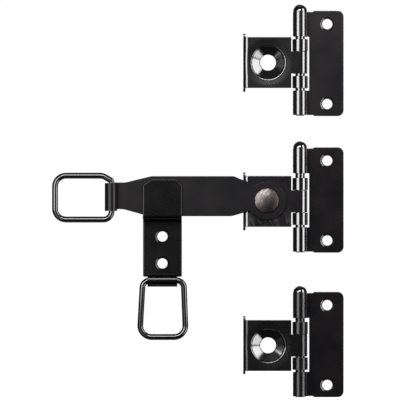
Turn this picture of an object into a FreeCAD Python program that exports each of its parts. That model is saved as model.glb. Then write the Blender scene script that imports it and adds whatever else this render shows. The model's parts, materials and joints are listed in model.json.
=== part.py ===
"""Stair gate latch and hinge set, in millimetres.

Three pin hinges share one upright axis.  Their gate leaves stand in the front plane and their wall
leaves in the back plane.  A latch strap turns on a shoulder rivet in the middle gate leaf, and its free
end drops behind the hook of a keeper bracket.  A wire ring hangs in the strap's rolled end and another
in the keeper's rolled tongue.

Frame: X to the right along the strap, Z up, and -Y to the front.  The origin is the middle of the
keeper's two screw holes, on the back face, which is the plane y = 0 that everything is mounted on.
"""
import FreeCAD, Part
import math
import os

# ---- sheet, wire and clearances ----
sheet = 1.6                    # plate thickness of every pressed part
wire_radius = 2.0              # both rings
running_gap = 0.05             # radial clearance of a pin or rivet in its bore
thin_gap = 0.25                # the closed seam of a rolled knuckle or eye
eased_edge = 0.3               # every pressed edge is tumbled to this radius
eased_rim = 0.2                # chamfer on the ends of rolled knuckles

# ---- hinges ----
pin_radius = 3.25
barrel_radius = pin_radius + running_gap + sheet
axis_x = 91.9                  # the three hinges' shared axis
axis_y = -barrel_radius
hinge_heights = {"top": 124.7, "middle": 33.4, "bottom": -63.2}
gate_leaf_slip = {"top": 0.4, "middle": -0.9, "bottom": -0.4}    # where each leaf sits in its axial play

wall_leaf_height = 70.4
wall_leaf_reach = 29.2         # axis to free edge
wall_corner_radius = 4.0
wall_neck_reach = 8.8          # the plate is a little shorter from the barrel to here
wall_neck_step = 0.7
wall_neck_radius = 0.8         # both corners of that step
knuckle_gap_top = 17.8         # the wall leaf is open between these heights
knuckle_gap_bottom = -18.2
wall_slot_reach = 6.15         # axis to the wall leaf's cut-back edge
wall_screw_reach = 18.3
wall_screw_spacing = 53.4
wall_screw_drop = 0.4          # the pair of holes sits this far below the leaf's middle

gate_leaf_height = 34.0
gate_knuckle_height = 14.8
gate_leaf_reach = 38.0         # axis to the flange's outer face
gate_bend_radius = 1.7         # inside of the bend into the flange
gate_notch_reach = 5.9         # axis to the leaf's edge beside the collars
flange_height = 38.8
flange_ear_depth = 5.6         # the ears stand on this much of the flange's back
flange_corner_radius = 1.6
flange_back_radius = 0.5
gate_bolt_reach = 21.4
gate_bolt_radius = 5.25
dimple_radius = 11.4           # where the pressed seat leaves the flat
dimple_lip_slope = 40.0        # degrees from the plate, just inside the lip
dimple_step_radius = 10.6      # where the steep lip turns into the seat
dimple_slope = 28.0            # degrees from the plate, in the seat itself
dimple_lip_bend = 0.9          # rounding of the front at those two places and at the hole
dimple_step_bend = 1.5
dimple_hole_bend = 1.3
dimple_blank_radius = 12.7     # the flat that is replaced by the pressed seat

collar_radius = 5.2
collar_height = 8.2
collar_chamfer = 0.2
pin_head_radius = 4.7
pin_head_height = 4.7
pin_head_rim = 0.6
pin_tail = 0.5                 # stands out below the lower knuckle
pin_tail_chamfer = 0.5
upper_collar_gap = 0.1         # how far each collar stands above the knuckle under it
lower_collar_gap = 1.5
seam_depth = 1.0               # the seam is open from here outwards

# ---- screw holes ----
screw_radius = 3.4
screw_bevel = (1.2, 0.35)      # a flat bevel round each screw hole: this far out, and this deep
screw_throat = (0.6, 0.85)     # and a steeper one inside it

# ---- latch strap ----
rivet_x = 69.6
rivet_z = 33.0
washer_thickness = 0.5
strap_back = -2 * barrel_radius - washer_thickness
strap_front = strap_back - sheet
strap_top = 49.3
strap_bottom = 22.6
strap_shoulder_right = (47.6, 46.2)      # X where the right taper starts, on the top and bottom edge
strap_neck_right = (60.7, 58.9)          # X where it meets the eye
strap_neck_right_z = (43.7, 26.3)
strap_shoulder_left = (-7.4, -9.2)
strap_neck_left = (-24.6, -26.0)
strap_neck_left_z = (45.1, 27.3)
strap_eye_radius = 12.7
strap_end = -38.3              # the rolled end's outermost point
strap_roll_z = (26.1, 44.7)
strap_corner = 3.0             # rounding of the outline's corners
strap_blunt_corner = 12.0      # and of the blunter ones
roll_inner_radius = 2.55
roll_radius = roll_inner_radius + sheet
roll_closing_angle = 33.0      # how far the rolled end turns in towards its own plate

# ---- rivet ----
rivet_head_radius = 8.1
rivet_head_rim = 1.3
rivet_head_height = 2.5
rivet_head_edge = 0.5          # the head's rim is broken this far down and 0.4 of it inwards
rivet_edge_share = 0.4
rivet_crown_reach = 0.6        # a point on the crown's arc: this share of the radius out
rivet_crown_fall = 0.34        # and this share of the crown's rise down
rivet_shoulder_radius = 5.2
rivet_shank_radius = 4.0
washer_radius = 10.5
burr_radius = 7.5
burr_thickness = 1.2
rivet_tail_height = 1.8
rivet_tail_radius = 6.0
rivet_tail_step = (0.8, 1.2)   # the peened tail's conical flank, inwards and back
rivet_tail_flat = 3.0          # radius of its flat end

# ---- keeper ----
keeper_width = 26.0
keeper_screw_spacing = 18.0
keeper_bend_radius = 1.5       # inside of both bends
keeper_hook_gap = 0.4          # strap front to the hook's back
keeper_shelf_top = 21.6
keeper_hook_top = 47.4
keeper_left_corner = (6.0, 4.0)
keeper_right_corner = (4.2, 4.3)
keeper_shoulder_radius = 1.0
keeper_corner_radius = 2.5     # rounding of the hook's slanted corners
keeper_hook_edge = 0.65        # the hook's edge is rounded more than the others
keeper_shoulder_z = -17.9
tongue_width = 19.9
tongue_end = -24.5

# ---- rings: the wire's centre line ----
pull_ring_x = -33.7            # the side held in the strap's end
pull_ring_left = -71.4
pull_ring_top = 49.6
pull_ring_bottom = 20.4
pull_ring_chamfer = (6.0, 3.4)           # the slanted corner above the strap's end
pull_ring_corner = 7.3
pull_ring_small_corner = 5.6
pull_ring_blunt_corner = 2.4
keeper_ring_top = -20.35
keeper_ring_bottom = -58.1
keeper_ring_top_x = (-13.1, 14.2)
keeper_ring_bottom_x = (-15.2, 15.6)
keeper_ring_top_corner = 4.8
keeper_ring_bottom_corner = 7.6


def vector(x, y, z):
    return FreeCAD.Vector(x, y, z)


Y_AXIS = vector(0, 1, 0)
Z_AXIS = vector(0, 0, 1)


def box(x0, x1, y0, y1, z0, z1):
    return Part.makeBox(x1 - x0, y1 - y0, z1 - z0, vector(x0, y0, z0))


def upright_cylinder(radius, z0, z1, x=axis_x, y=axis_y):
    return Part.makeCylinder(radius, z1 - z0, vector(x, y, z0), Z_AXIS)


def depth_cylinder(radius, x, z, y0, y1):
    """A cylinder along Y from y0 to y1."""
    return Part.makeCylinder(radius, y1 - y0, vector(x, y0, z), Y_AXIS)


def rounded_polyline(points, radii):
    """A closed wire of straight edges, with an arc of the given radius at each corner."""
    count = len(points)
    edges = []
    previous_end = None
    first_start = None
    for index in range(count):
        corner = points[index]
        radius = radii[index]
        before = (points[index - 1] - corner).normalize()
        after = (points[(index + 1) % count] - corner).normalize()
        if radius <= 0:
            start = corner
            end = corner
        else:
            half_angle = before.getAngle(after) / 2
            setback = radius / math.tan(half_angle)
            start = corner + before * setback
            end = corner + after * setback
            to_centre = (before + after).normalize()
            middle = corner + to_centre * (radius / math.sin(half_angle) - radius)
        if previous_end is not None:
            edges.append(Part.LineSegment(previous_end, start).toShape())
        else:
            first_start = start
        if radius > 0:
            edges.append(Part.Arc(start, middle, end).toShape())
        previous_end = end
    edges.append(Part.LineSegment(previous_end, first_start).toShape())
    return Part.Wire(edges)


def ease(body, wanted, radius=eased_edge):
    """Round every edge whose middle passes the test."""
    edges = []
    for edge in body.Edges:
        middle = edge.valueAt((edge.FirstParameter + edge.LastParameter) / 2)
        if wanted(middle):
            edges.append(edge)
    return body.makeFillet(radius, edges)


def plate(outline, radii, y0, y1):
    """A flat plate between y0 and y1 from an outline of (x, z) corners."""
    points = [vector(x, y0, z) for x, z in outline]
    face = Part.Face(rounded_polyline(points, radii))
    return face.extrude(vector(0, y1 - y0, 0))


def eased_plate(outline, radii, y0, y1, joined_x):
    """A flat plate with rounded edges, except along the line x = joined_x where it runs into a roll."""
    middle_y = (y0 + y1) / 2
    return ease(plate(outline, radii, y0, y1),
                lambda point: abs(point.y - middle_y) > sheet / 4 and abs(point.x - joined_x) > eased_edge)


def knuckle(z0, z1):
    """The outside of a rolled knuckle, its end rims chamfered."""
    body = upright_cylinder(barrel_radius, z0, z1)
    rims = [edge for edge in body.Edges if isinstance(edge.Curve, Part.Circle)]
    return body.makeChamfer(eased_rim, rims)


def screw_hole(x, z, plate_front, plate_back):
    """The cutter for a screw hole, with a flat bevel and a steeper throat at its front."""
    bevel_out, bevel_depth = screw_bevel
    throat_out, throat_depth = screw_throat
    drill = depth_cylinder(screw_radius, x, z, plate_front - 1, plate_back + 1)
    bevel = Part.makeCone(screw_radius + bevel_out, screw_radius + throat_out, bevel_depth,
                          vector(x, plate_front, z), Y_AXIS)
    throat = Part.makeCone(screw_radius + throat_out, screw_radius, throat_depth,
                           vector(x, plate_front + bevel_depth, z), Y_AXIS)
    return drill.fuse(bevel).fuse(throat)


def ring(points, corners):
    """A wire ring swept round a closed centre line."""
    path = rounded_polyline(points, corners)
    edge = path.Edges[0]
    start = edge.valueAt(edge.FirstParameter)
    direction = edge.tangentAt(edge.FirstParameter)
    section = Part.Wire(Part.makeCircle(wire_radius, start, direction))
    swept = path.makePipeShell([section], True, True)
    if swept.ShapeType != "Solid":
        swept = Part.Solid(swept)
    if swept.Volume < 0:
        swept.reverse()
    return swept


def wall_leaf(height):
    """Back plate with an upper and a lower knuckle, rolled to the front."""
    half = wall_leaf_height / 2
    neck = half - wall_neck_step
    step_end = wall_neck_reach + wall_neck_step
    outline = [(axis_x, height + neck), (axis_x + wall_neck_reach, height + neck),
               (axis_x + step_end, height + half), (axis_x + wall_leaf_reach, height + half),
               (axis_x + wall_leaf_reach, height - half), (axis_x + step_end, height - half),
               (axis_x + wall_neck_reach, height - neck), (axis_x, height - neck)]
    step = wall_neck_radius
    radii = [0, step, step, wall_corner_radius, wall_corner_radius, step, step, 0]
    leaf = eased_plate(outline, radii, -sheet, 0, axis_x)
    window = box(axis_x - 2 * barrel_radius, axis_x + wall_slot_reach, -3 * barrel_radius, 1,
                 height + knuckle_gap_bottom, height + knuckle_gap_top)
    leaf = leaf.cut(window)
    leaf = leaf.fuse(knuckle(height + knuckle_gap_top, height + neck))
    leaf = leaf.fuse(knuckle(height - neck, height + knuckle_gap_bottom))
    leaf = leaf.cut(upright_cylinder(pin_radius + running_gap, height - half, height + half))
    seam = box(axis_x + seam_depth, axis_x + barrel_radius, -sheet - thin_gap, -sheet, height - half, height + half)
    leaf = leaf.cut(seam)
    for side in (0.5, -0.5):
        hole_z = height - wall_screw_drop + side * wall_screw_spacing
        leaf = leaf.cut(screw_hole(axis_x + wall_screw_reach, hole_z, -sheet, 0))
    return leaf.removeSplitter()


def gate_plate(height):
    """Front plate, bent back at its far edge into a flange, with one knuckle in the middle."""
    outer = gate_bend_radius + sheet
    left = axis_x - gate_leaf_reach
    front = axis_y - barrel_radius
    low = height - gate_leaf_height / 2
    # the section, from the barrel round the outside of the bend to the flange's back edge and home again
    turn = math.sqrt(0.5)
    bend_x = left + outer
    bend_y = front + outer
    outside = Part.Arc(vector(bend_x, front, low), vector(bend_x - outer * turn, bend_y - outer * turn, low),
                       vector(left, bend_y, low)).toShape()
    inside = Part.Arc(vector(left + sheet, bend_y, low),
                      vector(bend_x - gate_bend_radius * turn, bend_y - gate_bend_radius * turn, low),
                      vector(bend_x, front + sheet, low)).toShape()
    corners = [vector(left, bend_y, low), vector(left, 0, low), vector(left + sheet, 0, low),
               vector(left + sheet, bend_y, low)]
    edges = [Part.LineSegment(vector(axis_x, front, low), vector(bend_x, front, low)).toShape(), outside]
    edges += [Part.LineSegment(corners[i], corners[i + 1]).toShape() for i in range(3)]
    edges += [inside,
              Part.LineSegment(vector(bend_x, front + sheet, low), vector(axis_x, front + sheet, low)).toShape(),
              Part.LineSegment(vector(axis_x, front + sheet, low), vector(axis_x, front, low)).toShape()]
    body = Part.Face(Part.Wire(edges)).extrude(vector(0, 0, gate_leaf_height))
    body = ease(body, lambda point: abs(point.z - height) > gate_leaf_height / 2 - sheet / 4
                and axis_x - point.x > eased_edge)
    # the flange is taller at its back than the leaf
    ears = Part.Face(rounded_polyline(
        [vector(left, -flange_ear_depth, height - flange_height / 2), vector(left, 0, height - flange_height / 2),
         vector(left, 0, height + flange_height / 2), vector(left, -flange_ear_depth, height + flange_height / 2)],
        [flange_corner_radius, flange_back_radius, flange_back_radius, flange_corner_radius])).extrude(vector(sheet, 0, 0))
    ears = ease(ears, lambda point: abs(point.z - height) > gate_leaf_height / 2 + eased_edge
                and abs(point.x - left - sheet / 2) > sheet / 4)
    # the leaf stops short of the collars, and its knuckle stands between them
    knuckle_low = height - gate_knuckle_height / 2
    knuckle_high = height + gate_knuckle_height / 2
    beside = [box(axis_x - gate_notch_reach, axis_x + 1, front - 1, 0, low - 1, knuckle_low),
              box(axis_x - gate_notch_reach, axis_x + 1, front - 1, 0, knuckle_high,
                  height + gate_leaf_height / 2 + 1)]
    seam = box(axis_x - barrel_radius, axis_x - seam_depth, front + sheet, front + sheet + thin_gap,
               knuckle_low - 1, knuckle_high + 1)
    bore = upright_cylinder(pin_radius + running_gap, low - 1, height + gate_leaf_height / 2 + 1)
    leaf = body.fuse(ears).cut(beside[0]).cut(beside[1]).fuse(knuckle(knuckle_low, knuckle_high))
    return leaf.cut(seam).cut(bore)


def behind(radius, y, outer_slope, inner_slope):
    """The corner on the sheet's back, one thickness behind a corner between two slopes on its front."""
    middle = (outer_slope + inner_slope) / 2
    reach = sheet / math.cos((inner_slope - outer_slope) / 2)
    return radius + reach * math.sin(middle), y + reach * math.cos(middle)


def gate_leaf(height):
    """A gate leaf with the sunk seat for the gate bolt's head."""
    leaf = gate_plate(height)
    front = axis_y - barrel_radius
    x = axis_x - gate_bolt_reach
    lip_slope = math.radians(dimple_lip_slope)
    slope = math.radians(dimple_slope)
    # half section of the pressed seat, one sheet thick: steep at its lip, then a cone down to the hole
    step_y = front + (dimple_radius - dimple_step_radius) * math.tan(lip_slope)
    hole_y = step_y + (dimple_step_radius - gate_bolt_radius) * math.tan(slope)
    corners = [(dimple_radius, front, 0, lip_slope), (dimple_step_radius, step_y, lip_slope, slope)]
    face = [(radius, y) for radius, y, outer, inner in corners]
    back = [behind(*corner) for corner in corners]
    outline = [(dimple_blank_radius, front)] + face
    outline += [(gate_bolt_radius, hole_y), (gate_bolt_radius, hole_y + sheet / math.cos(slope))]
    outline += back[::-1] + [(dimple_blank_radius, front + sheet)]
    bends = [0, dimple_lip_bend, dimple_step_bend, dimple_hole_bend, 0, dimple_step_bend + sheet, 0, 0]
    section = Part.Face(rounded_polyline([vector(x + radius, y, height) for radius, y in outline], bends))
    seat = section.revolve(vector(x, 0, height), Y_AXIS, 360)
    clear = depth_cylinder(dimple_blank_radius, x, height, front - 1, front + sheet + 1)
    return leaf.cut(clear).fuse(seat).removeSplitter()


def strap_gate_leaf(height):
    """The middle gate leaf: flat, with the rivet's hole."""
    front = axis_y - barrel_radius
    hole = depth_cylinder(rivet_shank_radius + running_gap, rivet_x, rivet_z, front - 1, front + sheet + 1)
    return gate_plate(height).cut(hole).removeSplitter()


def hinge_pin(height):
    """A plain pin with a domed head that rests on the upper knuckle."""
    seat = height + wall_leaf_height / 2 - wall_neck_step
    tail = height - wall_leaf_height / 2 + wall_neck_step - pin_tail
    crown = vector(0, 0, seat + pin_head_height)
    rim = vector(pin_head_radius, 0, seat + pin_head_rim)
    dome = pin_head_height - pin_head_rim
    shoulder = vector(pin_head_radius * math.sqrt(0.5), 0, seat + pin_head_rim + dome * math.sqrt(0.5))
    chamfer = pin_tail_chamfer
    edges = [Part.Arc(crown, shoulder, rim).toShape()]
    corners = [rim, vector(pin_head_radius, 0, seat), vector(pin_radius, 0, seat),
               vector(pin_radius, 0, tail + chamfer), vector(pin_radius - chamfer, 0, tail), vector(0, 0, tail),
               crown]
    edges += [Part.LineSegment(corners[i], corners[i + 1]).toShape() for i in range(len(corners) - 1)]
    pin = Part.Face(Part.Wire(edges)).revolve(vector(0, 0, 0), Z_AXIS, 360)
    pin.translate(vector(axis_x, axis_y, 0))
    return pin


def collar(low):
    """A loose spacer on the pin."""
    body = upright_cylinder(collar_radius, low, low + collar_height)
    outer_rims = [edge for edge in body.Edges if isinstance(edge.Curve, Part.Circle)]
    body = body.makeChamfer(collar_chamfer, outer_rims)
    return body.cut(upright_cylinder(pin_radius + running_gap, low - 1, low + collar_height + 1))


def rolled_eye(centre, direction, length, start_angle_vector):
    """An almost closed tube: a sheet end rolled round a wire.

    centre is one end of the tube's axis, direction its axis, and start_angle_vector points from the
    axis to where the roll leaves its plate.
    """
    turn = 270 + roll_closing_angle
    outer = Part.makeCylinder(roll_radius, length, vector(0, 0, 0), Z_AXIS, turn)
    inner = Part.makeCylinder(roll_inner_radius, length, vector(0, 0, 0), Z_AXIS)
    eye = outer.cut(inner)
    basis = FreeCAD.Rotation(start_angle_vector, vector(0, 0, 0), direction, "ZXY")
    eye.Placement = FreeCAD.Placement(centre, basis)
    return eye


def latch_strap():
    """A flat bar with an eye for the rivet, its free end rolled forward round the pull ring."""
    roll_x = strap_end + roll_radius
    outline = [(roll_x, strap_neck_left_z[1]), (strap_neck_left[1], strap_neck_left_z[1]),
               (strap_shoulder_left[1], strap_bottom), (strap_shoulder_right[1], strap_bottom),
               (strap_neck_right[1], strap_neck_right_z[1]), (rivet_x, rivet_z),
               (strap_neck_right[0], strap_neck_right_z[0]), (strap_shoulder_right[0], strap_top),
               (strap_shoulder_left[0], strap_top), (strap_neck_left[0], strap_neck_left_z[0]),
               (roll_x, strap_neck_left_z[0])]
    soft = strap_corner
    blunt = strap_blunt_corner
    radii = [0, blunt, blunt, blunt, 0, 0, 0, soft, blunt, blunt, 0]
    strap = eased_plate(outline, radii, strap_front, strap_back, roll_x)
    eye_disc = depth_cylinder(strap_eye_radius, rivet_x, rivet_z, strap_front, strap_back)
    rims = [edge for edge in eye_disc.Edges if isinstance(edge.Curve, Part.Circle)]
    strap = strap.fuse(eye_disc.makeFillet(eased_edge, rims))
    low, high = strap_roll_z
    hem = box(roll_x, roll_x + roll_radius, strap_front, strap_back, low, high)
    centre = vector(roll_x, strap_front - roll_inner_radius, low)
    eye = rolled_eye(centre, Z_AXIS, high - low, Y_AXIS)
    bore = depth_cylinder(rivet_shoulder_radius + running_gap, rivet_x, rivet_z, strap_front - 1, strap_back + 1)
    return strap.fuse(hem).fuse(eye).cut(bore).removeSplitter()


def pivot_rivet():
    """A shoulder rivet: the strap turns on the shoulder, and the shank is peened behind the leaf."""
    leaf_front = axis_y - barrel_radius
    under_head = strap_front - running_gap
    burr_back = leaf_front + sheet + burr_thickness
    rim_y = under_head - rivet_head_rim
    crown = vector(0, under_head - rivet_head_height, 0)
    rise = rivet_head_height - rivet_head_rim
    flank = vector(rivet_head_radius * rivet_crown_reach, rim_y - rise * (1 - rivet_crown_fall), 0)
    flank_in, flank_back = rivet_tail_step
    profile = [vector(rivet_head_radius - rivet_head_edge * rivet_edge_share, rim_y, 0),
               vector(rivet_head_radius, rim_y + rivet_head_edge, 0), vector(rivet_head_radius, under_head, 0),
               vector(rivet_shoulder_radius, under_head, 0), vector(rivet_shoulder_radius, leaf_front, 0),
               vector(rivet_shank_radius, leaf_front, 0), vector(rivet_shank_radius, burr_back, 0),
               vector(rivet_tail_radius, burr_back, 0), vector(rivet_tail_radius - flank_in, burr_back + flank_back, 0),
               vector(rivet_tail_flat, burr_back + rivet_tail_height, 0),
               vector(0, burr_back + rivet_tail_height, 0), crown]
    edges = [Part.Arc(crown, flank, profile[0]).toShape()]
    edges += [Part.LineSegment(profile[i], profile[i + 1]).toShape() for i in range(len(profile) - 1)]
    rivet = Part.Face(Part.Wire(edges)).revolve(vector(0, 0, 0), Y_AXIS, 360)
    rivet.translate(vector(rivet_x, 0, rivet_z))
    return rivet


def washer(outer, inner, y0, y1):
    disc = depth_cylinder(outer, rivet_x, rivet_z, y0, y1)
    return disc.cut(depth_cylinder(inner, rivet_x, rivet_z, y0 - 1, y1 + 1))


def keeper_bracket():
    """Screwed plate, a shelf that comes forward, and a hook plate that stands in front of the strap."""
    half = keeper_width / 2
    inner = keeper_bend_radius
    outer = inner + sheet
    hook_back = strap_front - keeper_hook_gap
    hook_front = hook_back - sheet
    shelf_low = keeper_shelf_top - sheet
    turn = math.sqrt(0.5)
    roll_z = tongue_end + roll_radius

    def point(y, z):
        return vector(-half, y, z)

    # side section: up the plate's back, over the shelf, up the hook's back, and down its front
    upper_bend = (hook_back - inner, keeper_shelf_top + inner)
    lower_bend = (-sheet - inner, shelf_low - inner)
    hook_bend = (hook_back + inner, keeper_shelf_top + inner)
    edges = [
        Part.LineSegment(point(0, keeper_shoulder_z), point(0, lower_bend[1])).toShape(),
        Part.Arc(point(0, lower_bend[1]),
                 point(lower_bend[0] + outer * turn, lower_bend[1] + outer * turn),
                 point(lower_bend[0], keeper_shelf_top)).toShape(),
        Part.LineSegment(point(lower_bend[0], keeper_shelf_top), point(hook_bend[0], keeper_shelf_top)).toShape(),
        Part.Arc(point(hook_bend[0], keeper_shelf_top),
                 point(hook_bend[0] - inner * turn, hook_bend[1] - inner * turn),
                 point(hook_back, hook_bend[1])).toShape(),
        Part.LineSegment(point(hook_back, hook_bend[1]), point(hook_back, keeper_hook_top)).toShape(),
        Part.LineSegment(point(hook_back, keeper_hook_top), point(hook_front, keeper_hook_top)).toShape(),
        Part.LineSegment(point(hook_front, keeper_hook_top), point(hook_front, hook_bend[1])).toShape(),
        Part.Arc(point(hook_front, hook_bend[1]),
                 point(hook_bend[0] - outer * turn, hook_bend[1] - outer * turn),
                 point(hook_bend[0], shelf_low)).toShape(),
        Part.LineSegment(point(hook_bend[0], shelf_low), point(lower_bend[0], shelf_low)).toShape(),
        Part.Arc(point(lower_bend[0], shelf_low),
                 point(lower_bend[0] + inner * turn, lower_bend[1] + inner * turn),
                 point(-sheet, lower_bend[1])).toShape(),
        Part.LineSegment(point(-sheet, lower_bend[1]), point(-sheet, keeper_shoulder_z)).toShape(),
        Part.LineSegment(point(-sheet, keeper_shoulder_z), point(0, keeper_shoulder_z)).toShape(),
    ]
    bracket = Part.Face(Part.Wire(edges)).extrude(vector(keeper_width, 0, 0))
    # the front view's outline rounds off the hook's top corners
    left_run, left_drop = keeper_left_corner
    right_run, right_drop = keeper_right_corner
    outline = [(-half, keeper_shoulder_z), (half, keeper_shoulder_z),
               (half, keeper_hook_top - right_drop), (half - right_run, keeper_hook_top),
               (left_run - half, keeper_hook_top), (-half, keeper_hook_top - left_drop)]
    radii = [keeper_shoulder_radius] * 2 + [keeper_corner_radius] * 4
    mask = plate(outline, radii, 2 * strap_front, 1)
    bracket = bracket.common(mask)
    bracket = ease(bracket, lambda point: point.z > keeper_hook_top / 2
                   and abs(point.y - (hook_front + hook_back) / 2) > sheet / 4, keeper_hook_edge)
    # the tongue, rolled forward round the ring
    tongue = box(-tongue_width / 2, tongue_width / 2, -sheet, 0, roll_z, keeper_shoulder_z + 2)
    centre = vector(tongue_width / 2, -sheet - roll_inner_radius, roll_z)
    eye = rolled_eye(centre, vector(-1, 0, 0), tongue_width, Y_AXIS)
    bracket = bracket.fuse(tongue).fuse(eye)
    for side in (0.5, -0.5):
        bracket = bracket.cut(screw_hole(0, side * keeper_screw_spacing, -sheet, 0))
    return bracket.removeSplitter()


def pull_ring():
    """The ring at the strap's free end; one corner is slanted."""
    y = strap_front - roll_inner_radius
    chamfer_run, chamfer_drop = pull_ring_chamfer
    points = [vector(pull_ring_left, y, pull_ring_top), vector(pull_ring_left, y, pull_ring_bottom),
              vector(pull_ring_x, y, pull_ring_bottom), vector(pull_ring_x, y, pull_ring_top - chamfer_drop),
              vector(pull_ring_x - chamfer_run, y, pull_ring_top)]
    corners = [pull_ring_corner, pull_ring_corner, pull_ring_small_corner, pull_ring_blunt_corner,
               3 * pull_ring_blunt_corner]
    return ring(points, corners)


def keeper_ring():
    """The ring that hangs in the keeper's tongue, a little wider at its foot."""
    y = -sheet - roll_inner_radius
    points = [vector(keeper_ring_top_x[0], y, keeper_ring_top), vector(keeper_ring_bottom_x[0], y, keeper_ring_bottom),
              vector(keeper_ring_bottom_x[1], y, keeper_ring_bottom), vector(keeper_ring_top_x[1], y, keeper_ring_top)]
    corners = [keeper_ring_top_corner, keeper_ring_bottom_corner, keeper_ring_bottom_corner, keeper_ring_top_corner]
    return ring(points, corners)


def build():
    """Every piece, by the name of its node."""
    pieces = {}
    for name, height in hinge_heights.items():
        leaf_height = height + gate_leaf_slip[name]
        pieces[name + "_wall_leaf"] = wall_leaf(height)
        pieces[name + "_hinge_pin"] = hinge_pin(height)
        make_gate_leaf = strap_gate_leaf if name == "middle" else gate_leaf
        pieces[name + "_gate_leaf"] = make_gate_leaf(leaf_height)
        pieces[name + "_upper_collar"] = collar(leaf_height + gate_knuckle_height / 2 + upper_collar_gap)
        pieces[name + "_lower_collar"] = collar(height + knuckle_gap_bottom + lower_collar_gap)
    leaf_front = axis_y - barrel_radius
    leaf_back = leaf_front + sheet
    pieces["latch_strap"] = latch_strap()
    pieces["pivot_rivet"] = pivot_rivet()
    pieces["pivot_washer"] = washer(washer_radius, rivet_shoulder_radius + running_gap, strap_back, leaf_front)
    pieces["rivet_burr"] = washer(burr_radius, rivet_shank_radius + running_gap, leaf_back,
                                  leaf_back + burr_thickness)
    pieces["keeper_bracket"] = keeper_bracket()
    pieces["pull_ring"] = pull_ring()
    pieces["keeper_ring"] = keeper_ring()
    return pieces


def main_solid(shape):
    """The piece itself, without the empty crumbs that tangent faces can leave."""
    return max(shape.Solids, key=lambda solid: solid.Volume)


os.makedirs("parts", exist_ok=True)
for node, shape in build().items():
    piece = main_solid(shape)
    piece.exportStep("parts/" + node + ".step")
    print(node, "valid", piece.isValid(), "volume", round(piece.Volume, 1))
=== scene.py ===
"""Looks of the gate hinge and latch set: black lacquer, burnished rivet, studio, camera."""
import json
import math

import bpy
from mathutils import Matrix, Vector


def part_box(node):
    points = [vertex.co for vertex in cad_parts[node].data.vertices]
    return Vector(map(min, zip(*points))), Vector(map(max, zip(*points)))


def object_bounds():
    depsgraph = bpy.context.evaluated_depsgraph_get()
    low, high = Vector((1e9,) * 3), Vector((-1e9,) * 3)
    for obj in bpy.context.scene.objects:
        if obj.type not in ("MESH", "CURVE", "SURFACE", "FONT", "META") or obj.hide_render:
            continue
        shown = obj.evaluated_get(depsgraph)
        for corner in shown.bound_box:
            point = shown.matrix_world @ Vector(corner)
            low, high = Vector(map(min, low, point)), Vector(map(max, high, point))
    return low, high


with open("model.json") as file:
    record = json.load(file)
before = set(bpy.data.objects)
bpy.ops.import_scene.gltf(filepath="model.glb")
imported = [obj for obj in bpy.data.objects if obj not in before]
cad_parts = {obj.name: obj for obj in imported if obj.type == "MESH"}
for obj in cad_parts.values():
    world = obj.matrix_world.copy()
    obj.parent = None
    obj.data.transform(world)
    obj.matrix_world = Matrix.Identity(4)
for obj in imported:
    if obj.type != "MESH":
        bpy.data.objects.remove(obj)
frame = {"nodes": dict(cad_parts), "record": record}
cad_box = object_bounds()

HINGES = ("top", "middle", "bottom")


# ---------------------------------------------------------------- small helpers

def new_material(name):
    """An empty node material with its output node, ready for a shader."""
    material = bpy.data.materials.new(name)
    material.use_nodes = True
    tree = material.node_tree
    tree.nodes.clear()
    output = tree.nodes.new("ShaderNodeOutputMaterial")
    shader = tree.nodes.new("ShaderNodeBsdfPrincipled")
    tree.links.new(shader.outputs["BSDF"], output.inputs["Surface"])
    return material, tree, shader


def piece_coordinates(tree, centre=(0.0, 0.0, 0.0), turn=(0.0, 0.0, 0.0), stretch=(1.0, 1.0, 1.0)):
    """The piece's own coordinates, moved so that the pattern's middle lies at centre."""
    source = tree.nodes.new("ShaderNodeTexCoord")
    mapping = tree.nodes.new("ShaderNodeMapping")
    mapping.vector_type = "TEXTURE"
    mapping.inputs["Location"].default_value = centre
    mapping.inputs["Rotation"].default_value = turn
    mapping.inputs["Scale"].default_value = stretch
    tree.links.new(source.outputs["Object"], mapping.inputs["Vector"])
    return mapping.outputs["Vector"]


def noise(tree, vector, size, detail=2.0, roughness=0.5, distortion=0.0):
    """Cloudy pattern whose blotches are about size metres across."""
    node = tree.nodes.new("ShaderNodeTexNoise")
    node.inputs["Scale"].default_value = 1.0 / size
    node.inputs["Detail"].default_value = detail
    node.inputs["Roughness"].default_value = roughness
    node.inputs["Distortion"].default_value = distortion
    tree.links.new(vector, node.inputs["Vector"])
    return node.outputs["Fac"]


def spread(tree, value, low_in, high_in, low_out, high_out):
    """Maps one range of a pattern to another and clamps it."""
    node = tree.nodes.new("ShaderNodeMapRange")
    node.inputs["From Min"].default_value = low_in
    node.inputs["From Max"].default_value = high_in
    node.inputs["To Min"].default_value = low_out
    node.inputs["To Max"].default_value = high_out
    tree.links.new(value, node.inputs["Value"])
    return node.outputs["Result"]


def two_tones(tree, value, first, second):
    """Blends two colours by a pattern."""
    node = tree.nodes.new("ShaderNodeMix")
    node.data_type = "RGBA"
    node.inputs["A"].default_value = (*first, 1.0)
    node.inputs["B"].default_value = (*second, 1.0)
    tree.links.new(value, node.inputs["Factor"])
    return node.outputs["Result"]


def combine(tree, kind, first, second):
    """One arithmetic step on two patterns; second may be a plain number."""
    node = tree.nodes.new("ShaderNodeMath")
    node.operation = kind
    tree.links.new(first, node.inputs[0])
    if isinstance(second, float):
        node.inputs[1].default_value = second
    else:
        tree.links.new(second, node.inputs[1])
    return node.outputs["Value"]


def relief(tree, height, depth, strength, under=None):
    """Surface relief of the given depth in metres, stacked on another relief if there is one."""
    node = tree.nodes.new("ShaderNodeBump")
    node.inputs["Distance"].default_value = depth
    node.inputs["Strength"].default_value = strength
    tree.links.new(height, node.inputs["Height"])
    if under is not None:
        tree.links.new(under, node.inputs["Normal"])
    return node.outputs["Normal"]


# ---------------------------------------------------------------- finishes

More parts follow.
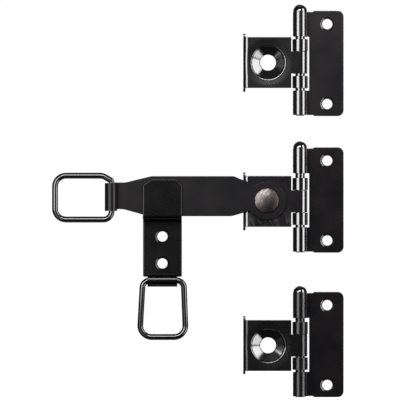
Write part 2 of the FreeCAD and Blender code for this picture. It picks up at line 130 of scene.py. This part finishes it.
WARM_BLACK = (0.0026, 0.0018, 0.0022)
COOL_BLACK = (0.0017, 0.0015, 0.0019)
LACQUER_IOR = 1.5

# pattern sizes and relief depths, in metres
CLOUD_SIZE = 0.018
PEEL_SIZE = 0.0022
PEEL_DEPTH = 0.00002
DUST_SIZE = 0.0006
STREAK_SIZE = 0.012

# the sheet is drawn in between these two radii round a bolt seat, by this depth
DRAWN_INNER = 0.0105
DRAWN_OUTER = 0.0165
DRAWN_DEPTH = 0.00035

# the gloss changes from the rolled barrel to the flat plate between these two distances from the pin's axis
BARREL_EDGE = 0.0055
PLATE_EDGE = 0.0085

# the smears fade in between these two heights above the middle gate leaf's lower edge
SMEAR_TOP = 0.018
SMEAR_FULL = 0.007

pin_low, pin_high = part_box("top_hinge_pin")
BARREL_AXIS = (pin_low.x + pin_high.x) / 2
LEAF_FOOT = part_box("middle_gate_leaf")[0].z


def drawn_in(tree, middle, inner, outer):
    """Height of sheet that a press has drawn in gently round a seat, between two radii in metres."""
    flat = tree.nodes.new("ShaderNodeVectorMath")
    flat.operation = "MULTIPLY"
    flat.inputs[1].default_value = (1.0, 0.0, 1.0)
    tree.links.new(piece_coordinates(tree, centre=middle), flat.inputs[0])
    reach = tree.nodes.new("ShaderNodeVectorMath")
    reach.operation = "LENGTH"
    tree.links.new(flat.outputs["Vector"], reach.inputs[0])
    node = tree.nodes.new("ShaderNodeMapRange")
    node.interpolation_type = "SMOOTHSTEP"
    node.inputs["From Min"].default_value = inner
    node.inputs["From Max"].default_value = outer
    tree.links.new(reach.outputs["Value"], node.inputs["Value"])
    return node.outputs["Result"]


def black_lacquer(name, painted_light_scale=1.0, gloss=0.30, smears=0.0, peel_strength=0.04, seat=None,
                  coat=1.0, haze=0.07, plate_coat=None):
    """Baked gloss black lacquer on steel: fine orange peel, warm clouds, dulled patches, dust in the gloss.

    Coat is how much clear gloss lies on top and haze is its softness. Plate_coat is the gloss away from
    the rolled barrel, if it differs there. Smears adds haze in slanted streaks at the middle leaf's foot.
    The scale on the black's colour is painted light and shade: it makes a piece lighter or darker where the
    lamps fall on it differently.
    """
    material, tree, shader = new_material(name)
    place = piece_coordinates(tree)
    clouds = noise(tree, place, CLOUD_SIZE, detail=3.0, roughness=0.55)
    peel = noise(tree, place, PEEL_SIZE, detail=1.0)
    dust = noise(tree, place, DUST_SIZE, detail=1.0)
    # painted light and shade: the scale makes this piece's black lighter or darker to stand in for how the
    # lamps fall on it
    warm = tuple(c * painted_light_scale for c in WARM_BLACK)
    cool = tuple(c * painted_light_scale for c in COOL_BLACK)
    colour = two_tones(tree, spread(tree, clouds, 0.35, 0.65, 0.0, 1.0), cool, warm)
    tree.links.new(colour, shader.inputs["Base Color"])
    dulled = spread(tree, clouds, 0.3, 0.7, gloss - 0.04, gloss + 0.06)
    dulled = combine(tree, "ADD", dulled, spread(tree, dust, 0.55, 0.75, 0.0, 0.08))
    normal = relief(tree, peel, PEEL_DEPTH, peel_strength)
    if seat is not None:
        sunk = drawn_in(tree, seat, DRAWN_INNER, DRAWN_OUTER)
        normal = relief(tree, sunk, DRAWN_DEPTH, 1.0, under=normal)
    if smears > 0.0:
        wiped = piece_coordinates(tree, turn=(0.0, math.radians(-24.0), 0.0), stretch=(0.25, 1.0, 1.0))
        streaks = noise(tree, wiped, STREAK_SIZE, detail=4.0, roughness=0.6, distortion=0.8)
        streaks = spread(tree, streaks, 0.42, 0.60, 0.0, 1.0)
        height = tree.nodes.new("ShaderNodeSeparateXYZ")
        tree.links.new(place, height.inputs["Vector"])
        rubbed = spread(
            tree, height.outputs["Z"], LEAF_FOOT + SMEAR_TOP, LEAF_FOOT + SMEAR_FULL, 0.0, smears)
        streaks = combine(tree, "MULTIPLY", streaks, rubbed)
        smeared = combine(tree, "ADD", streaks, haze)
        tree.links.new(smeared, shader.inputs["Coat Roughness"])
    tree.links.new(dulled, shader.inputs["Roughness"])
    tree.links.new(normal, shader.inputs["Normal"])
    tree.links.new(normal, shader.inputs["Coat Normal"])
    shader.inputs["IOR"].default_value = LACQUER_IOR
    shader.inputs["Specular IOR Level"].default_value = 0.06
    shader.inputs["Coat Weight"].default_value = coat
    if plate_coat is not None:
        across = tree.nodes.new("ShaderNodeSeparateXYZ")
        tree.links.new(place, across.inputs["Vector"])
        weight = spread(
            tree, across.outputs["X"], BARREL_AXIS + BARREL_EDGE, BARREL_AXIS + PLATE_EDGE, coat, plate_coat)
        tree.links.new(weight, shader.inputs["Coat Weight"])
    shader.inputs["Coat Roughness"].default_value = haze
    shader.inputs["Coat IOR"].default_value = LACQUER_IOR
    return material


RING_SCALE = 420.0
RING_DEPTH = 0.00006
RUB_SIZE = 0.0045
SCUFF_SIZE = 0.0007
SCUFF_DEPTH = 0.00003
DARK_STEEL = (0.020, 0.0165, 0.016)
PALE_STEEL = (0.052, 0.046, 0.044)


def burnished_rivet(name, centre):
    """Turned and rubbed rivet steel: brown-grey, with turning rings, pale streaks and fine scuffs."""
    material, tree, shader = new_material(name)
    middle = piece_coordinates(tree, centre=centre)
    rings = tree.nodes.new("ShaderNodeTexWave")
    rings.wave_type = "RINGS"
    rings.rings_direction = "Y"
    rings.inputs["Scale"].default_value = RING_SCALE
    rings.inputs["Distortion"].default_value = 1.2
    rings.inputs["Detail"].default_value = 2.0
    tree.links.new(middle, rings.inputs["Vector"])
    slanted = piece_coordinates(
        tree, centre=centre, turn=(0.0, math.radians(-38.0), 0.0), stretch=(1.0, 1.0, 0.22))
    streaks = noise(tree, slanted, RUB_SIZE, detail=4.0, roughness=0.6)
    scuffs = noise(tree, middle, SCUFF_SIZE, detail=3.0, roughness=0.65)
    tone = combine(tree, "MULTIPLY", streaks, 0.8)
    tone = combine(tree, "ADD", tone, combine(tree, "MULTIPLY", scuffs, 0.2))
    colour = two_tones(tree, spread(tree, tone, 0.38, 0.62, 0.0, 1.0), DARK_STEEL, PALE_STEEL)
    tree.links.new(colour, shader.inputs["Base Color"])
    tree.links.new(spread(tree, tone, 0.3, 0.7, 0.42, 0.28), shader.inputs["Roughness"])
    normal = relief(tree, rings.outputs["Fac"], RING_DEPTH, 0.22)
    normal = relief(tree, scuffs, SCUFF_DEPTH, 0.12, under=normal)
    tree.links.new(normal, shader.inputs["Normal"])
    shader.inputs["Metallic"].default_value = 1.0
    return material


# ---------------------------------------------------------------- finishes on the pieces

rivet_low, rivet_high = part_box("pivot_rivet")
rivet_axis = (rivet_low + rivet_high) / 2

mounts = {mount["name"]: mount for mount in frame["record"]["mounts"]}
seat_middle = {hinge: mounts["gate_bolt_" + hinge]["pos_m"] for hinge in ("top", "bottom")}

# the first number of each lacquer is painted light and shade: the same black is made lighter or darker per
# piece, standing in for how the lamps fall on it
upper_leaf_black = black_lacquer("wall leaf lacquer", painted_light_scale=0.9, gloss=0.34, plate_coat=0.40)
lower_leaf_black = black_lacquer("lower wall leaf lacquer", painted_light_scale=0.7, gloss=0.30, plate_coat=0.38)
top_seat_black = black_lacquer("top gate leaf lacquer", painted_light_scale=0.4, seat=seat_middle["top"], haze=0.13)
bottom_seat_black = black_lacquer(
    "bottom gate leaf lacquer", painted_light_scale=0.3, seat=seat_middle["bottom"], haze=0.13)
rubbed_black = black_lacquer("rubbed middle leaf lacquer", painted_light_scale=0.9, smears=0.20)
strap_black = black_lacquer("latch strap lacquer", painted_light_scale=0.8, gloss=0.38, coat=0.07)
keeper_black = black_lacquer("keeper lacquer", painted_light_scale=0.2, gloss=0.28, coat=0.20)
pin_black = black_lacquer("hinge pin lacquer", painted_light_scale=0.8, gloss=0.22, peel_strength=0.01)
wire_black = black_lacquer("ring wire lacquer", painted_light_scale=0.4, gloss=0.22, peel_strength=0.01, coat=0.6)
rivet_steel = burnished_rivet("burnished rivet steel", rivet_axis)

FINISH = {
    "top_wall_leaf": upper_leaf_black,
    "middle_wall_leaf": lower_leaf_black,
    "bottom_wall_leaf": lower_leaf_black,
    "top_gate_leaf": top_seat_black,
    "middle_gate_leaf": rubbed_black,
    "bottom_gate_leaf": bottom_seat_black,
    "latch_strap": strap_black,
    "keeper_bracket": keeper_black,
    "pull_ring": wire_black,
    "keeper_ring": wire_black,
    "pivot_rivet": rivet_steel,
    "pivot_washer": rivet_steel,
    "rivet_burr": rivet_steel,
}
for hinge in HINGES:
    FINISH[hinge + "_hinge_pin"] = pin_black
    FINISH[hinge + "_upper_collar"] = pin_black
    FINISH[hinge + "_lower_collar"] = pin_black

for node, material in FINISH.items():
    slots = frame["nodes"][node].material_slots
    for slot in slots:
        slot.material = material


# ---------------------------------------------------------------- studio

LOW, HIGH = cad_box
CENTRE = (LOW + HIGH) / 2
FLOOR_DROP = 0.075
FLOOR_HALF = 8.0
FLOOR_GLOW = 0.97
PALE = (0.86, 0.86, 0.86)
CAMERA_DISTANCE = 3.0
FRAME_WIDTH = 0.26667
SENSOR_WIDTH = 36.0
AIM_SHIFT = Vector((0.00125, 0.0, 0.00065))


def studio_floor():
    """A plain pale floor well below the set, which hangs as it is fitted."""
    material, tree, shader = new_material("pale floor")
    grain = noise(tree, piece_coordinates(tree), 0.05, detail=2.0)
    tree.links.new(
        two_tones(tree, grain, PALE, tuple(c * 1.02 for c in PALE)), shader.inputs["Base Color"])
    shader.inputs["Roughness"].default_value = 0.9
    shader.inputs["Specular IOR Level"].default_value = 0.1
    shader.inputs["Emission Color"].default_value = (1.0, 1.0, 1.0, 1.0)
    shader.inputs["Emission Strength"].default_value = FLOOR_GLOW
    mesh = bpy.data.meshes.new("floor")
    level = LOW.z - FLOOR_DROP
    corners = [(-1, -1), (1, -1), (1, 1), (-1, 1)]
    mesh.from_pydata([(x * FLOOR_HALF, y * FLOOR_HALF, level) for x, y in corners], [], [(0, 1, 2, 3)])
    mesh.materials.append(material)
    floor = bpy.data.objects.new("floor", mesh)
    floor.visible_diffuse = False
    floor.visible_glossy = False
    bpy.context.scene.collection.objects.link(floor)


def soft_light(name, azimuth, distance, middle_height, width, height, brightness, aim_height=None):
    """A softbox. Azimuth 0 is in front of the set and 90 at its right; brightness is its radiance."""
    data = bpy.data.lights.new(name, "AREA")
    data.shape = "RECTANGLE"
    data.size = width
    data.size_y = height
    data.energy = brightness * math.pi * width * height
    lamp = bpy.data.objects.new(name, data)
    turn = math.radians(azimuth)
    place = Vector((CENTRE.x + distance * math.sin(turn), -distance * math.cos(turn), middle_height))
    target = Vector((CENTRE.x, 0.0, middle_height if aim_height is None else aim_height))
    lamp.location = place
    lamp.rotation_euler = (target - place).to_track_quat("-Z", "Y").to_euler()
    lamp.visible_camera = False
    bpy.context.scene.collection.objects.link(lamp)


def studio_world(seen, dim):
    """White surroundings to look at, and a dim room to light by."""
    world = bpy.data.worlds.new("studio")
    bpy.context.scene.world = world
    world.use_nodes = True
    tree = world.node_tree
    tree.nodes.clear()
    output = tree.nodes.new("ShaderNodeOutputWorld")
    mix = tree.nodes.new("ShaderNodeMixShader")
    rays = tree.nodes.new("ShaderNodeLightPath")
    room = tree.nodes.new("ShaderNodeBackground")
    white = tree.nodes.new("ShaderNodeBackground")
    room.inputs["Color"].default_value = (0.97, 0.96, 1.0, 1.0)
    room.inputs["Strength"].default_value = dim
    white.inputs["Strength"].default_value = seen
    white.inputs["Color"].default_value = (1.0, 1.0, 1.0, 1.0)
    tree.links.new(rays.outputs["Is Camera Ray"], mix.inputs["Fac"])
    tree.links.new(room.outputs["Background"], mix.inputs[1])
    tree.links.new(white.outputs["Background"], mix.inputs[2])
    tree.links.new(mix.outputs["Shader"], output.inputs["Surface"])


def product_camera():
    """A long lens straight in front of the set, so that nothing converges."""
    data = bpy.data.cameras.new("camera")
    data.type = "PERSP"
    data.sensor_width = SENSOR_WIDTH
    data.lens = SENSOR_WIDTH * CAMERA_DISTANCE / FRAME_WIDTH
    data.clip_start = 0.05
    data.clip_end = 20.0
    camera = bpy.data.objects.new("camera", data)
    camera.location = (CENTRE.x + AIM_SHIFT.x, LOW.y / 2 - CAMERA_DISTANCE, CENTRE.z + AIM_SHIFT.z)
    camera.rotation_euler = (math.radians(90.0), 0.0, 0.0)
    bpy.context.scene.collection.objects.link(camera)
    bpy.context.scene.camera = camera


studio_floor()
studio_world(seen=1.0, dim=0.05)

# the tall softboxes at the left and right draw the two light lines down every barrel, and the shaded ones
# dim those lines lower down; the one above the front draws the lines on the ring wires; the rest are rims
# arguments: name, azimuth, distance, middle height, width, height, brightness
soft_light("left strip", -30.0, 0.9, 0.21, 0.58, 0.48, 18.0)
soft_light("left strip shaded", -30.0, 0.9, -0.28, 0.58, 0.50, 2.8)
soft_light("right strip", 58.0, 0.9, 0.41, 0.42, 0.90, 19.0)
soft_light("right strip shaded", 58.0, 0.9, -0.09, 0.42, 0.10, 3.2)
soft_light("right strip foot", 58.0, 0.9, -0.45, 0.42, 0.62, 15.0)
soft_light("front top", -4.0, 0.85, 0.52, 0.55, 0.30, 38.0)
soft_light("overhead", 180.0, 0.15, 1.20, 0.7, 0.7, 0.8, aim_height=0.0)
soft_light("floor glow", 180.0, 0.15, -0.90, 0.7, 0.7, 0.8, aim_height=0.0)
soft_light("back left strip", -163.0, 0.9, 0.2, 0.30, 1.2, 2.0)
soft_light("back right strip", 163.0, 0.9, 0.2, 0.30, 1.2, 2.0)
product_camera()

scene = bpy.context.scene
scene.view_settings.view_transform = "Standard"
scene.view_settings.look = "None"
